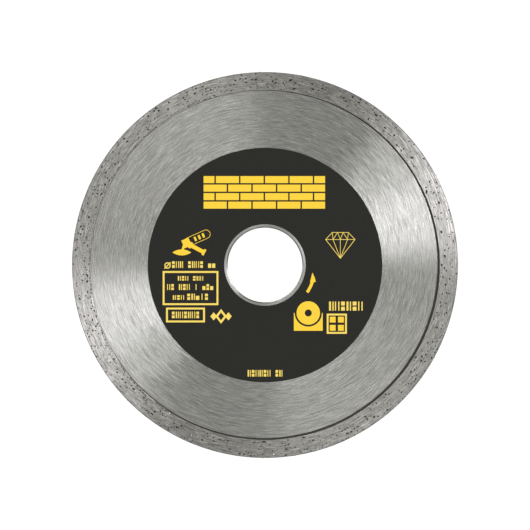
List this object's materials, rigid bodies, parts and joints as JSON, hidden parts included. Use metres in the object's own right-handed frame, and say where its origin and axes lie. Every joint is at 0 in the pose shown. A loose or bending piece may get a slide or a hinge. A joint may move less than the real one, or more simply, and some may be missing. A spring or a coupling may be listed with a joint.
{
  "type": "diamond blade",
  "caption": "Flat round grinder blade for tile: a ground steel disc with a plain bore, a printed label and a thicker unbroken rim of sintered bond holding diamond grit.",
  "frame": {"origin": "centre of the bore, halfway through the blade's thickness", "axes": "the spin axis lies along Y, the printed front faces -Y, +Z is the top of the printed label and +X is its right"},
  "size_m": [0.1151, 0.0018, 0.1152],
  "materials": {
    "ground_steel": "ground in fine rings around the axis",
    "sintered_bond": "ground, with open pits",
    "diamond_grit": "small clear to yellowish crystals",
    "label_black": "satin screen-printed ink",
    "label_yellow": "satin screen-printed ink"
  },
  "bodies": {
    "root": {"steel_core": "ground_steel", "diamond_rim": "sintered_bond", "grit_front": "diamond_grit", "grit_rear": "diamond_grit", "grit_edge": "diamond_grit", "label_ground": "label_black", "print_brick_wall": "label_yellow", "print_grinder": "label_yellow", "print_diameter_sign": "label_yellow", "print_size_marks": "label_yellow", "print_speed_frame": "label_yellow", "print_speed_marks": "label_yellow", "print_standard_frame": "label_yellow", "print_standard_marks": "label_yellow", "print_three_gems": "label_yellow", "print_gem": "label_yellow", "print_rotation_arrow": "label_yellow", "print_blade_on_tile": "label_yellow", "print_model_marks": "label_yellow", "print_tile_frame": "label_yellow", "print_four_tiles": "label_yellow", "print_batch_marks": "label_yellow"}
  },
  "joints": []
}
